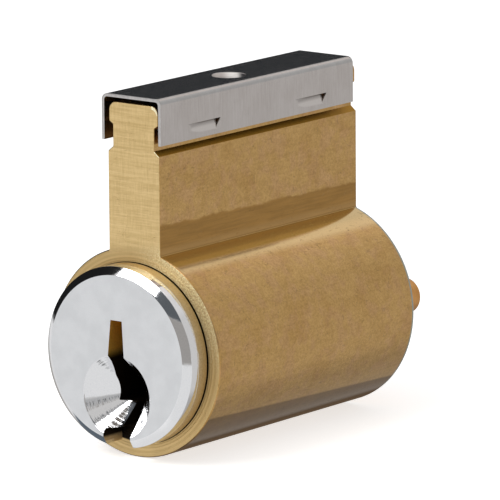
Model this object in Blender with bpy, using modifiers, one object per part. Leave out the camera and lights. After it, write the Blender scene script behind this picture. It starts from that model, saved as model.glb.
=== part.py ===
"""Key-in-lever pin tumbler lock cylinder, built piece by piece.

Frame: the plug turns about the Y axis. The key goes in from -Y, the tail drives at +Y, and the
tall flat "bible" that holds the springs and driver pins points up, along +Z. The origin is on the
plug's axis, in the plane of the shell's front face. Blender units are metres.

The pin stacks stand at the shear line, as the right key holds them, so the plug is free to turn.
"""

import math

import bmesh
import bpy
import numpy as np
from mathutils import Matrix

MM = 0.001

# ---- driving dimensions -------------------------------------------------------------------------
SHELL_RADIUS = 11.0 * MM
SHELL_LENGTH = 33.6 * MM
SHELL_CHAMFER = 0.25 * MM

PLUG_RADIUS = 7.0 * MM
RUNNING_CLEARANCE = 0.08 * MM
PLUG_END_FLOAT = 0.1 * MM
GAP = 0.3 * MM

HEAD_RADIUS = 9.5 * MM
HEAD_FACE_RADIUS = 8.66 * MM
HEAD_HEIGHT = 3.24 * MM
HEAD_BEVEL = 0.56 * MM

# The bible: a straight blade, a narrower neck and a rail head that carries the cover.
BIBLE_HALF = 3.35 * MM
BIBLE_SHOULDER_Z = 20.65 * MM
NECK_HALF = 2.7 * MM
NECK_BOTTOM_Z = 21.4 * MM
NECK_TOP_Z = 23.5 * MM
RAIL_HALF = 3.05 * MM
RAIL_BOTTOM_Z = 23.78 * MM
RAIL_TOP_Z = 26.05 * MM
RAIL_ROUND = 0.85 * MM

# The pin cover: a folded steel channel that slides on the rail head.
COVER_LENGTH = 32.76 * MM
COVER_HALF = 3.8 * MM
COVER_SHIFT_X = -0.25 * MM
COVER_BOTTOM_Z = 21.98 * MM
COVER_TOP_Z = 26.82 * MM
COVER_SHEET = 0.4 * MM
COVER_ROUND = 0.7 * MM
DIMPLE_RADIUS = 1.85 * MM
DIMPLE_FLOOR_RADIUS = 0.5 * MM
DIMPLE_DEPTH = 0.3 * MM
LANCE_LENGTH = 4.8 * MM
LANCE_HEIGHT = 0.95 * MM
LANCE_BOTTOM_Z = 22.55 * MM
LANCE_CENTRES_Y = (7.4 * MM, 25.6 * MM)
LANCE_CLEARANCE = 0.12 * MM

# Keyway: its entry countersink is a 90 degree cone around the lower half of the slot.
COUNTERSINK_RADIUS = 4.4 * MM
COUNTERSINK_CENTRE_Z = -4.12 * MM

# Pin stacks
CHAMBERS = 6
FIRST_CHAMBER_Y = 6.4 * MM
CHAMBER_PITCH = 3.96 * MM
CHAMBER_RADIUS = 1.5 * MM
CHAMBER_FLOOR_Z = -0.8 * MM
PIN_RADIUS = 1.4 * MM
PIN_CHAMFER = 0.22 * MM
KEY_PIN_TOP_Z = 6.85 * MM
DRIVER_BOTTOM_Z = 7.1 * MM
STACK_LENGTH = 11.0 * MM
SHORTEST_KEY_PIN = 4.6 * MM
BITTING_STEP = 0.4 * MM
BITTING = (2, 0, 3, 1, 4, 0)
KEY_PIN_TIP_RADIUS = 0.35 * MM
KEY_PIN_TIP_LENGTH = 0.9 * MM

SPRING_COIL_RADIUS = 1.05 * MM
SPRING_WIRE_RADIUS = 0.15 * MM
SPRING_TOP_Z = 26.1 * MM
SPRING_TURNS = 6
SPRING_POINTS_PER_TURN = 8

# Tail driver: a retaining disc with a drive bar across it, held by two screws.
DISC_RADIUS = 8.3 * MM
DISC_THICKNESS = 1.6 * MM
BAR_HALF_THICKNESS = 1.95 * MM
BAR_EDGE_X = 5.2 * MM
BAR_END_Y = 40.1 * MM
SCREW_X = 3.5 * MM
SCREW_Z = 4.1 * MM
SCREW_RADIUS = 1.15 * MM
SCREW_DEPTH = 4.6 * MM
SCREW_CLEARANCE = 0.12 * MM
SCREW_HEAD_RADIUS = 1.9 * MM
SCREW_HEAD_HEIGHT = 1.2 * MM
SCREW_SLOT_WIDTH = 0.5 * MM
SCREW_SLOT_DEPTH = 0.55 * MM

ROUND_STEPS = 64
SMALL_STEPS = 24
MERGE = 0.000001

# ---- values worked out from them ----------------------------------------------------------------
BORE_RADIUS = PLUG_RADIUS + RUNNING_CLEARANCE
PLUG_END_Y = SHELL_LENGTH + PLUG_END_FLOAT
DISC_FRONT_Y = PLUG_END_Y + GAP
DISC_BACK_Y = DISC_FRONT_Y + DISC_THICKNESS
ALONG_Y = Matrix.Rotation(math.radians(-90.0), 4, "X")


def chamber_y(index):
    """Distance of a pin chamber's axis behind the shell's front face."""
    return FIRST_CHAMBER_Y + index * CHAMBER_PITCH


def key_pin_length(index):
    """Length of a key pin: one bitting step longer for each deeper cut of the key."""
    return SHORTEST_KEY_PIN + BITTING[index] * BITTING_STEP


# ---- scene, materials and small helpers ---------------------------------------------------------
def clear_scene():
    """Remove whatever the start-up file holds."""
    for item in list(bpy.data.objects):
        bpy.data.objects.remove(item, do_unlink=True)


def new_collection(name):
    """A collection linked to the scene."""
    group = bpy.data.collections.new(name)
    bpy.context.scene.collection.children.link(group)
    return group


def new_material(name, colour, roughness, metallic=1.0):
    """A Principled material with a colour, a roughness and a metallic value."""
    material = bpy.data.materials.new(name)
    material.use_nodes = True
    shader = material.node_tree.nodes["Principled BSDF"]
    shader.inputs["Base Color"].default_value = (*colour, 1.0)
    shader.inputs["Roughness"].default_value = roughness
    shader.inputs["Metallic"].default_value = metallic
    return material


def add_object(name, data, group, material=None, matrix=None):
    """Link an object that holds this mesh or curve."""
    item = bpy.data.objects.new(name, data)
    group.objects.link(item)
    if matrix is not None:
        item.matrix_world = matrix
    if material is not None:
        data.materials.append(material)
    return item


def as_cutter(item):
    """Keep a Boolean's tool object out of renders."""
    item.hide_render = True
    item.display_type = "WIRE"
    return item


def smooth(item, angle=35.0):
    """Shade a round piece smooth, with its real edges kept sharp."""
    item.data.shade_smooth()
    item.data.set_sharp_from_angle(angle=math.radians(angle))


def boolean(item, tool, operation):
    """Add a Boolean modifier with the exact solver."""
    step = item.modifiers.new(tool.name, "BOOLEAN")
    step.operation = operation
    step.solver = "EXACT"
    step.object = tool


def turned_mesh(name, profile, steps, matrix):
    """A solid of revolution about local Z: the profile runs down its outer side as a Screw."""
    mesh = bpy.data.meshes.new(name)
    edges = [(i, i + 1) for i in range(len(profile) - 1)]
    if profile[0][0] > MERGE:
        edges.append((len(profile) - 1, 0))
    mesh.from_pydata([(radius, 0.0, height) for radius, height in profile], edges, [])
    source = bpy.data.objects.new(name, mesh)
    bpy.context.scene.collection.objects.link(source)
    screw = source.modifiers.new("turn", "SCREW")
    screw.axis = "Z"
    screw.steps = steps
    screw.render_steps = steps
    screw.use_merge_vertices = True
    screw.merge_threshold = MERGE
    bpy.context.view_layer.update()
    solid = evaluated_mesh(source, name)
    solid.transform(matrix)
    bpy.data.objects.remove(source, do_unlink=True)
    return solid


def evaluated_mesh(source, name):
    """The mesh that an object's modifiers or curve settings give, with its loose joins welded."""
    graph = bpy.context.evaluated_depsgraph_get()
    mesh = bpy.data.meshes.new_from_object(source.evaluated_get(graph))
    mesh.name = name
    work = bmesh.new()
    work.from_mesh(mesh)
    bmesh.ops.remove_doubles(work, verts=work.verts, dist=MERGE)
    work.to_mesh(mesh)
    work.free()
    return mesh


def extruded_mesh(name, outline, y_from, y_to):
    """A prism along Y: the outline's points are (x, z) pairs."""
    curve = bpy.data.curves.new(name, "CURVE")
    curve.dimensions = "2D"
    curve.fill_mode = "BOTH"
    curve.extrude = (y_to - y_from) / 2.0
    spline = curve.splines.new("POLY")
    spline.points.add(len(outline) - 1)
    for point, (x, z) in zip(spline.points, outline):
        point.co = (x, -z, 0.0, 1.0)
    spline.use_cyclic_u = True
    source = bpy.data.objects.new(name, curve)
    bpy.context.scene.collection.objects.link(source)
    bpy.context.view_layer.update()
    mesh = evaluated_mesh(source, name)
    mesh.transform(Matrix.Translation((0.0, (y_from + y_to) / 2.0, 0.0)) @ ALONG_Y)
    bpy.data.objects.remove(source, do_unlink=True)
    return mesh


def cylinder_mesh(name, radius, bottom, top, steps=SMALL_STEPS):
    """An upright cylinder about local Z."""
    profile = [(0.0, top), (radius, top), (radius, bottom), (0.0, bottom)]
    return turned_mesh(name, profile, steps, Matrix.Identity(4))


def box_mesh(name, size, centre, turn=None):
    """A box of a given size, turned about its own centre and then placed."""
    work = bmesh.new()
    bmesh.ops.create_cube(work, size=1.0)
    bmesh.ops.scale(work, vec=size, verts=work.verts)
    mesh = bpy.data.meshes.new(name)
    work.to_mesh(mesh)
    work.free()
    mesh.transform(Matrix.Translation(centre) @ (turn or Matrix.Identity(4)))
    return mesh


def arc(centre_x, centre_z, radius, start, end, steps):
    """Points along an arc in the XZ plane, with angles in degrees from +X towards +Z."""
    angles = np.radians(np.linspace(start, end, steps + 1))
    return [(centre_x + radius * math.cos(a), centre_z + radius * math.sin(a)) for a in angles]


# ---- shell --------------------------------------------------------------------------------------
def barrel_profile():
    """Radius and distance behind the front face, for the round barrel and its bore."""
    front = SHELL_CHAMFER
    back = SHELL_LENGTH - SHELL_CHAMFER
    return [
        (SHELL_RADIUS - SHELL_CHAMFER, SHELL_LENGTH),
        (SHELL_RADIUS, back),
        (SHELL_RADIUS, front),
        (SHELL_RADIUS - SHELL_CHAMFER, 0.0),
        (BORE_RADIUS, 0.0),
        (BORE_RADIUS, SHELL_LENGTH),
    ]


def bible_outline():
    """Section of the bible from inside the barrel wall up to the rail head."""
    foot_z = (BORE_RADIUS + SHELL_RADIUS) / 2.0
    corner_x = RAIL_HALF - RAIL_ROUND
    corner_z = RAIL_TOP_Z - RAIL_ROUND
    right = [
        (BIBLE_HALF, foot_z),
        (BIBLE_HALF, BIBLE_SHOULDER_Z),
        (NECK_HALF, NECK_BOTTOM_Z),
        (NECK_HALF, NECK_TOP_Z),
        (RAIL_HALF, RAIL_BOTTOM_Z),
    ]
    right += arc(corner_x, corner_z, RAIL_ROUND, 0.0, 90.0, 6)
    left = [(-x, z) for x, z in reversed(right)]
    return right + left


def make_shell(parts, tools, brass):
    """The brass shell: barrel and bible in one, bored for the plug and the pin chambers."""
    mesh = turned_mesh("cylinder_shell", barrel_profile(), ROUND_STEPS, ALONG_Y)
    shell = add_object("cylinder_shell", mesh, parts, brass)
    blade = extruded_mesh("bible_blade", bible_outline(), 0.0, SHELL_LENGTH)
    boolean(shell, as_cutter(add_object("bible_blade", blade, tools)), "UNION")
    for index in range(CHAMBERS):
        name = f"shell_chamber_{index + 1}"
        drill = cylinder_mesh(name, CHAMBER_RADIUS, PLUG_RADIUS - GAP, RAIL_TOP_Z + GAP)
        place = Matrix.Translation((0.0, chamber_y(index), 0.0))
        boolean(shell, as_cutter(add_object(name, drill, tools, matrix=place)), "DIFFERENCE")
    smooth(shell)


# ---- plug ---------------------------------------------------------------------------------------
def plug_profile():
    """Radius and distance behind the shell's front face, for the head and the body."""
    return [
        (0.0, PLUG_END_Y),
        (PLUG_RADIUS, PLUG_END_Y),
        (PLUG_RADIUS, -GAP),
        (HEAD_RADIUS, -GAP),
        (HEAD_RADIUS, HEAD_BEVEL - HEAD_HEIGHT),
        (HEAD_FACE_RADIUS, -HEAD_HEIGHT),
        (0.0, -HEAD_HEIGHT),
    ]


def keyway_outline():
    """Section of the keyway, open through the bottom of the plug."""
    below = -HEAD_RADIUS - MM
    left = [(-0.68, 3.95), (-1.07, 0.2), (-1.12, -0.5), (-1.62, -2.3), (-1.66, -5.05)]
    ward = [(0.05, -5.15), (-0.12, -7.45), (-1.8, -7.65)]
    right = [(1.75, -7.5), (1.85, -3.6), (1.4, -1.2), (1.02, 0.15), (0.8, 3.95)]
    points = [(x * MM, z * MM) for x, z in left + ward]
    points += [(-1.8 * MM, below), (1.7 * MM, below)]
    points += [(x * MM, z * MM) for x, z in right]
    return points[::-1]


def countersink_mesh(name):
    """A cone that starts in front of the plug's face and has its tip inside the keyway."""
    ahead = MM
    profile = [
        (0.0, COUNTERSINK_RADIUS - HEAD_HEIGHT),
        (COUNTERSINK_RADIUS + ahead, -HEAD_HEIGHT - ahead),
        (0.0, -HEAD_HEIGHT - ahead),
    ]
    return turned_mesh(name, profile, ROUND_STEPS // 2, ALONG_Y)


def make_plug(parts, tools, axis, nickel):
    """The plug: a round body with a wide head, keyway, pin chambers and tail screw holes."""
    plug = add_object("plug", turned_mesh("plug", plug_profile(), ROUND_STEPS, ALONG_Y), parts, nickel)
    plug.parent = axis
    slot = extruded_mesh("keyway", keyway_outline(), -HEAD_HEIGHT - MM, PLUG_END_Y + MM)
    boolean(plug, as_cutter(add_object("keyway", slot, tools)), "DIFFERENCE")
    place = Matrix.Translation((0.0, 0.0, COUNTERSINK_CENTRE_Z))
    cone = add_object("countersink", countersink_mesh("countersink"), tools, matrix=place)
    boolean(plug, as_cutter(cone), "DIFFERENCE")
    for index in range(CHAMBERS):
        name = f"plug_chamber_{index + 1}"
        drill = cylinder_mesh(name, CHAMBER_RADIUS, CHAMBER_FLOOR_Z, PLUG_RADIUS + MM)
        place = Matrix.Translation((0.0, chamber_y(index), 0.0))
        boolean(plug, as_cutter(add_object(name, drill, tools, matrix=place)), "DIFFERENCE")
    for number, side in ((1, 1.0), (2, -1.0)):
        name = f"screw_hole_{number}"
        radius = SCREW_RADIUS + SCREW_CLEARANCE
        drill = cylinder_mesh(name, radius, -SCREW_DEPTH - GAP, MM, SMALL_STEPS // 2)
        place = Matrix.Translation((side * SCREW_X, PLUG_END_Y, side * SCREW_Z)) @ ALONG_Y
        boolean(plug, as_cutter(add_object(name, drill, tools, matrix=place)), "DIFFERENCE")
    smooth(plug)


# ---- pin stacks ---------------------------------------------------------------------------------
def key_pin_profile(length):
    """A bottom pin about its own axis: chamfered top at height 0, blunt cone at the tip."""
    return [
        (0.0, 0.0),
        (PIN_RADIUS - PIN_CHAMFER, 0.0),
        (PIN_RADIUS, -PIN_CHAMFER),
        (PIN_RADIUS, KEY_PIN_TIP_LENGTH - length),
        (KEY_PIN_TIP_RADIUS, -length),
        (0.0, -length),
    ]


def driver_pin_profile(length):
    """A top pin about its own axis: bottom at height 0, chamfered at both ends."""
    return [
        (0.0, length),
        (PIN_RADIUS - PIN_CHAMFER, length),
        (PIN_RADIUS, length - PIN_CHAMFER),
        (PIN_RADIUS, PIN_CHAMFER),
        (PIN_RADIUS - PIN_CHAMFER, 0.0),
        (0.0, 0.0),
    ]


def spring_points(length):
    """Points of the helix, from its foot at height 0 to its top."""
    count = SPRING_TURNS * SPRING_POINTS_PER_TURN
    points = []
    for step in range(count + 1):
        angle = math.tau * step / SPRING_POINTS_PER_TURN
        height = length * step / count
        points.append((SPRING_COIL_RADIUS * math.cos(angle), SPRING_COIL_RADIUS * math.sin(angle), height))
    return points


def make_spring(name, foot_z, y, parts, steel):
    """A compression spring between its driver pin and the cover."""
    curve = bpy.data.curves.new(name, "CURVE")
    curve.dimensions = "3D"
    curve.bevel_depth = SPRING_WIRE_RADIUS
    curve.bevel_resolution = 2
    curve.use_fill_caps = True
    spline = curve.splines.new("POLY")
    points = spring_points(SPRING_TOP_Z - foot_z - 2.0 * SPRING_WIRE_RADIUS)
    spline.points.add(len(points) - 1)
    for point, place in zip(spline.points, points):
        point.co = (*place, 1.0)
    matrix = Matrix.Translation((0.0, y, foot_z + SPRING_WIRE_RADIUS))
    add_object(name, curve, parts, steel, matrix)


def make_stack(index, parts, axis, brass, steel):
    """One key pin, its driver pin and its spring."""
    number = index + 1
    y = chamber_y(index)
    key_length = key_pin_length(index)
    driver_length = STACK_LENGTH - key_length
    plain = Matrix.Identity(4)
    mesh = turned_mesh(f"key_pin_{number}", key_pin_profile(key_length), SMALL_STEPS, plain)
    place = Matrix.Translation((0.0, y, KEY_PIN_TOP_Z))
    key_pin = add_object(f"key_pin_{number}", mesh, parts, brass, place)
    key_pin.parent = axis
    smooth(key_pin)
    mesh = turned_mesh(f"driver_pin_{number}", driver_pin_profile(driver_length), SMALL_STEPS, plain)
    place = Matrix.Translation((0.0, y, DRIVER_BOTTOM_Z))
    smooth(add_object(f"driver_pin_{number}", mesh, parts, brass, place))
    make_spring(f"spring_{number}", DRIVER_BOTTOM_Z + driver_length + GAP, y, parts, steel)


# ---- pin cover ----------------------------------------------------------------------------------
def cover_outline():
    """Section of the folded channel, open at the bottom."""
    half = COVER_HALF
    bend_x = half - COVER_ROUND
    bend_z = COVER_TOP_Z - COVER_ROUND
    inner = COVER_ROUND - COVER_SHEET
    outside = [(half, COVER_BOTTOM_Z)]
    outside += arc(bend_x, bend_z, COVER_ROUND, 0.0, 90.0, 5)
    outside += arc(-bend_x, bend_z, COVER_ROUND, 90.0, 180.0, 5)
    outside += [(-half, COVER_BOTTOM_Z), (-half + COVER_SHEET, COVER_BOTTOM_Z)]
    inside = arc(-bend_x, bend_z, inner, 180.0, 90.0, 3)
    inside += arc(bend_x, bend_z, inner, 90.0, 0.0, 3)
    inside += [(half - COVER_SHEET, COVER_BOTTOM_Z)]
    return [(x + COVER_SHIFT_X, z) for x, z in outside + inside]


def lance_meshes(name, side, centre_y):
    """The window of one lance and its tab, which leans in under the rail head."""
    wall_out = COVER_SHIFT_X + side * COVER_HALF
    wall_in = wall_out - side * COVER_SHEET
    reach = abs(wall_in) - NECK_HALF - LANCE_CLEARANCE
    lean = math.atan2(reach, LANCE_HEIGHT)
    middle_z = LANCE_BOTTOM_Z + LANCE_HEIGHT / 2.0
    middle_x = (wall_out + wall_in) / 2.0
    window = box_mesh(
        f"{name}_window",
        (3.0 * COVER_SHEET, LANCE_LENGTH, LANCE_HEIGHT),
        (middle_x, centre_y, middle_z),
    )
    foot = 0.25 * MM
    thickness = 0.75 * COVER_SHEET
    height = LANCE_HEIGHT / math.cos(lean) + foot - thickness * math.tan(lean) / 2.0
    tab_x = middle_x - side * math.sin(lean) * (height / 2.0 - foot)
    tab_z = LANCE_BOTTOM_Z + math.cos(lean) * (height / 2.0 - foot)
    turn = Matrix.Rotation(-side * lean, 4, "Y")
    size = (thickness, LANCE_LENGTH - GAP, height)
    tab = box_mesh(f"{name}_tab", size, (tab_x, centre_y, tab_z), turn)
    return window, tab


def make_cover(parts, tools, steel):
    """The stainless pin cover with its pressed dimple and four lances."""
    mesh = extruded_mesh("pin_cover", cover_outline(), 0.0, COVER_LENGTH)
    cover = add_object("pin_cover", mesh, parts, steel)
    middle = Matrix.Translation((0.0, COVER_LENGTH / 2.0, 0.0))
    floor_z = COVER_TOP_Z - DIMPLE_DEPTH
    boss = cylinder_mesh("dimple_boss", DIMPLE_RADIUS, floor_z - COVER_SHEET, COVER_TOP_Z - COVER_SHEET / 2.0)
    boolean(cover, as_cutter(add_object("dimple_boss", boss, tools, matrix=middle)), "UNION")
    slope = (DIMPLE_RADIUS - DIMPLE_FLOOR_RADIUS) / DIMPLE_DEPTH
    profile = [
        (0.0, COVER_TOP_Z + GAP),
        (DIMPLE_RADIUS + GAP * slope, COVER_TOP_Z + GAP),
        (DIMPLE_FLOOR_RADIUS, floor_z),
        (0.0, floor_z),
    ]
    dimple = turned_mesh("dimple", profile, SMALL_STEPS, Matrix.Identity(4))
    boolean(cover, as_cutter(add_object("dimple", dimple, tools, matrix=middle)), "DIFFERENCE")
    for row, centre_y in enumerate(LANCE_CENTRES_Y, start=1):
        for word, side in (("right", 1.0), ("left", -1.0)):
            window, tab = lance_meshes(f"lance_{word}_{row}", side, centre_y)
            boolean(cover, as_cutter(add_object(window.name, window, tools)), "DIFFERENCE")
            boolean(cover, as_cutter(add_object(tab.name, tab, tools)), "UNION")
    smooth(cover)


# ---- tail ---------------------------------------------------------------------------------------
def bar_outline():
    """Section of the drive bar: two flats with round edges."""
    right = arc(BAR_EDGE_X, 0.0, BAR_HALF_THICKNESS, -90.0, 90.0, 10)
    left = arc(-BAR_EDGE_X, 0.0, BAR_HALF_THICKNESS, 90.0, 270.0, 10)
    return right + left


def make_tail_driver(parts, tools, axis, brass):
    """The disc that keeps the plug in and the bar that turns the latch mechanism."""
    profile = [(0.0, DISC_BACK_Y), (DISC_RADIUS, DISC_BACK_Y), (DISC_RADIUS, DISC_FRONT_Y), (0.0, DISC_FRONT_Y)]
    mesh = turned_mesh("tail_driver", profile, ROUND_STEPS, ALONG_Y)
    driver = add_object("tail_driver", mesh, parts, brass)
    driver.parent = axis
    bar = extruded_mesh("drive_bar", bar_outline(), DISC_BACK_Y - DISC_THICKNESS / 2.0, BAR_END_Y)
    boolean(driver, as_cutter(add_object("drive_bar", bar, tools)), "UNION")
    for number, side in ((1, 1.0), (2, -1.0)):
        name = f"driver_hole_{number}"
        radius = SCREW_RADIUS + SCREW_CLEARANCE
        drill = cylinder_mesh(name, radius, -MM, DISC_THICKNESS + MM, SMALL_STEPS // 2)
        place = Matrix.Translation((side * SCREW_X, DISC_FRONT_Y, side * SCREW_Z)) @ ALONG_Y
        boolean(driver, as_cutter(add_object(name, drill, tools, matrix=place)), "DIFFERENCE")
    smooth(driver)


def make_driver_screws(parts, tools, axis, steel):
    """Two slotted screws that hold the tail driver on the plug."""
    seat = DISC_BACK_Y + GAP / 2.0 - PLUG_END_Y
    profile = [
        (0.0, seat + SCREW_HEAD_HEIGHT),
        (SCREW_HEAD_RADIUS - PIN_CHAMFER, seat + SCREW_HEAD_HEIGHT),
        (SCREW_HEAD_RADIUS, seat + SCREW_HEAD_HEIGHT - PIN_CHAMFER),
        (SCREW_HEAD_RADIUS, seat),
        (SCREW_RADIUS, seat),
        (SCREW_RADIUS, -SCREW_DEPTH),
        (0.0, -SCREW_DEPTH),
    ]
    for number, side in ((1, 1.0), (2, -1.0)):
        name = f"driver_screw_{number}"
        place = Matrix.Translation((side * SCREW_X, PLUG_END_Y, side * SCREW_Z)) @ ALONG_Y
        mesh = turned_mesh(name, profile, SMALL_STEPS, Matrix.Identity(4))
        screw = add_object(name, mesh, parts, steel, place)
        screw.parent = axis
        size = (3.0 * SCREW_HEAD_RADIUS, SCREW_SLOT_WIDTH, 2.0 * SCREW_SLOT_DEPTH)
        slot = box_mesh(f"screw_slot_{number}", size, (0.0, 0.0, seat + SCREW_HEAD_HEIGHT))
        cutter = as_cutter(add_object(f"screw_slot_{number}", slot, tools, matrix=place))
        boolean(screw, cutter, "DIFFERENCE")
        smooth(screw)


# ---- assembly -----------------------------------------------------------------------------------
def main():
    """Build every piece of the cylinder."""
    clear_scene()
    parts = new_collection("lever_lock_cylinder")
    tools = new_collection("cutters")
    shell_brass = new_material("shell_brass", (0.50, 0.34, 0.14), 0.42)
    pin_brass = new_material("pin_brass", (0.62, 0.45, 0.19), 0.3)
    plug_chrome = new_material("plug_chrome", (0.80, 0.81, 0.83), 0.2)
    cover_steel = new_material("cover_steel", (0.45, 0.43, 0.42), 0.4)
    spring_steel = new_material("spring_steel", (0.55, 0.55, 0.56), 0.3)
    tail_brass = new_material("tail_brass", (0.60, 0.30, 0.09), 0.35)
    axis = bpy.data.objects.new("plug_axis", None)
    parts.objects.link(axis)
    make_shell(parts, tools, shell_brass)
    make_plug(parts, tools, axis, plug_chrome)
    for index in range(CHAMBERS):
        make_stack(index, parts, axis, pin_brass, spring_steel)
    make_cover(parts, tools, cover_steel)
    make_tail_driver(parts, tools, axis, tail_brass)
    make_driver_screws(parts, tools, axis, spring_steel)
    bpy.context.view_layer.update()


main()
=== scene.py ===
"""Looks of the key-in-lever lock cylinder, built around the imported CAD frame.

Y is the plug's axis, with the key side at -Y; the bible stands up along +Z. Meshes are in metres.
"""

import math

import bmesh
import bpy
import numpy as np
from mathutils import Matrix, Vector


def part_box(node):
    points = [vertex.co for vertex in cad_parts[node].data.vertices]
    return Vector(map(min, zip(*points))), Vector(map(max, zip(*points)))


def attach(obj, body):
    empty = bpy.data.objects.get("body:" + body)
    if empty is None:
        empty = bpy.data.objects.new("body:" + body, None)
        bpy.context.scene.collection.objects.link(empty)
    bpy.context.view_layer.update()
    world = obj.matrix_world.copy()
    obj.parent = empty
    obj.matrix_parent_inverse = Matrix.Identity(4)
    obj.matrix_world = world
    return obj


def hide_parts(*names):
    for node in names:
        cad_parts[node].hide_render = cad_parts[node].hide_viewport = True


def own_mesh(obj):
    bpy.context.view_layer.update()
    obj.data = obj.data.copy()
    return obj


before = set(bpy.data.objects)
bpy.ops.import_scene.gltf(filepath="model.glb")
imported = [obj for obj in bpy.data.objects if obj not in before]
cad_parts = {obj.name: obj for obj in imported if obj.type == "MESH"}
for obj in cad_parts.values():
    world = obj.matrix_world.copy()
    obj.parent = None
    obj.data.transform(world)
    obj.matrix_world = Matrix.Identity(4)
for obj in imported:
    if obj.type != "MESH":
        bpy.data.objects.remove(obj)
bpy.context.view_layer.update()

MM = 0.001
ALONG_Y = Matrix.Rotation(math.radians(-90.0), 4, "X")
STACKS = range(1, 7)
SCREWS = (1, 2)


# ---- sizes read from the frame ---------------------------
def span(node, axis):
    """Lowest and highest value of a CAD node along one axis."""
    low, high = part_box(node)
    return low[axis], high[axis]


def centre(node, axis):
    """Middle of a CAD node along one axis."""
    low, high = span(node, axis)
    return (low + high) / 2.0


def half_width(node, axis):
    """Half the extent of a CAD node along one axis."""
    low, high = span(node, axis)
    return (high - low) / 2.0


X, Y, Z = 0, 1, 2
SHELL_RADIUS = span("cylinder_shell", X)[1]
SHELL_LENGTH = span("cylinder_shell", Y)[1]
RAIL_TOP = span("cylinder_shell", Z)[1]
HEAD_RADIUS = span("plug", X)[1]
HEAD_FRONT = span("plug", Y)[0]
PLUG_END = span("plug", Y)[1]
PLUG_RADIUS = 7.0 * MM
BORE_RADIUS = PLUG_RADIUS + 0.08 * MM
COVER_LEFT, COVER_RIGHT = span("pin_cover", X)
COVER_BOTTOM, COVER_TOP = span("pin_cover", Z)
COVER_LENGTH = span("pin_cover", Y)[1]
DISC_FRONT, BAR_END = span("tail_driver", Y)
DISC_RADIUS = span("tail_driver", Z)[1]
PIN_RADIUS = half_width("driver_pin_1", X)
CHAMBER_RADIUS = PIN_RADIUS + 0.1 * MM

BIBLE_HALF = 3.35 * MM
NECK_HALF = 2.7 * MM
RAIL_HALF = 3.18 * MM
SHOULDER_Z = 20.86 * MM
NECK_BOTTOM = SHOULDER_Z + 0.54 * MM
NECK_TOP = 23.7 * MM
RAIL_BOTTOM = 24.0 * MM

SCREW_CLEAR = 1.27 * MM
OVERCUT = 1.0 * MM  # how far a cutter reaches past the metal


# ---- mesh tools ------------------------------------------
ON_AXIS = 1e-9
WELD = 1e-8


def arc(centre_x, centre_z, radius, start, end, steps):
    """Points along an arc, angles in degrees."""
    angles = np.radians(np.linspace(start, end, steps + 1))
    return [(centre_x + radius * math.cos(a), centre_z + radius * math.sin(a)) for a in angles]


def rounded(path, steps=6):
    """A polyline with each inner corner (x, z, radius) replaced by an arc."""
    out = [Vector(path[0][:2])]
    for before, corner, after in zip(path, path[1:], path[2:]):
        here = Vector(corner[:2])
        back = (Vector(before[:2]) - here).normalized()
        ahead = (Vector(after[:2]) - here).normalized()
        half = back.angle(ahead) / 2.0
        radius = corner[2]
        if radius <= 0.0 or half > math.radians(89.5):
            out.append(here)
            continue
        reach = radius / math.tan(half)
        middle = here + (back + ahead).normalized() * (radius / math.sin(half))
        first = here + back * reach - middle
        last = here + ahead * reach - middle
        turn = first.angle_signed(last)
        for step in range(steps + 1):
            angle = -turn * step / steps
            out.append(middle + Matrix.Rotation(angle, 2) @ first)
    out.append(Vector(path[-1][:2]))
    return [(p.x, p.y) for p in out]


def new_object(name, data):
    """Link a mesh, a light or a camera as an object."""
    item = bpy.data.objects.new(name, data)
    bpy.context.scene.collection.objects.link(item)
    return item


def from_bmesh(name, work, closed=True):
    """Turn a bmesh into an object. A closed one gets its faces pointing out."""
    if closed:
        bmesh.ops.recalc_face_normals(work, faces=work.faces)
    mesh = bpy.data.meshes.new(name)
    work.to_mesh(mesh)
    work.free()
    return new_object(name, mesh)


def baked(item):
    """Replace an object's mesh by what its modifiers give."""
    bpy.context.view_layer.update()
    graph = bpy.context.evaluated_depsgraph_get()
    mesh = bpy.data.meshes.new_from_object(item.evaluated_get(graph))
    mesh.name = item.name
    item.modifiers.clear()
    item.data = mesh
    return item


def cut(item, tool, operation="DIFFERENCE"):
    """Apply a Boolean and throw its tool away."""
    step = item.modifiers.new("boolean", "BOOLEAN")
    step.operation = operation
    step.solver = "EXACT"
    step.object = tool
    baked(item)
    bpy.data.objects.remove(tool, do_unlink=True)


def soften(item, width, angle):
    """Round the edges sharper than an angle by a small bevel."""
    bevel = item.modifiers.new("edge", "BEVEL")
    bevel.width = width
    bevel.segments = 2
    bevel.limit_method = "ANGLE"
    bevel.angle_limit = math.radians(angle)
    bevel.miter_outer = "MITER_ARC"
    bevel.use_clamp_overlap = True
    baked(item)


def clean_normals(item, angle=32.0):
    """Smooth shading with edges sharper than an angle kept and flat faces kept flat."""
    item.data.shade_smooth()
    item.data.set_sharp_from_angle(angle=math.radians(angle))
    weigh = item.modifiers.new("normals", "WEIGHTED_NORMAL")
    weigh.keep_sharp = True
    weigh.mode = "FACE_AREA"
    return baked(item)


def lathe(name, profile, steps, matrix):
    """A turned solid about local Z from (radius, height) pairs that start and end on the axis."""
    work = bmesh.new()
    rings = []
    for radius, height in profile:
        if radius < ON_AXIS:
            rings.append([work.verts.new((0.0, 0.0, height))])
            continue
        ring = []
        for step in range(steps):
            angle = math.tau * step / steps
            across = (radius * math.cos(angle), radius * math.sin(angle))
            ring.append(work.verts.new((*across, height)))
        rings.append(ring)
    for lower, upper in zip(rings, rings[1:]):
        for step in range(steps):
            following = (step + 1) % steps
            if len(upper) == 1:
                work.faces.new((lower[step], lower[following], upper[0]))
            elif len(lower) == 1:
                work.faces.new((lower[0], upper[step], upper[following]))
            else:
                work.faces.new((lower[step], lower[following], upper[following], upper[step]))
    item = from_bmesh(name, work)
    item.data.transform(matrix)
    return item


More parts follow.
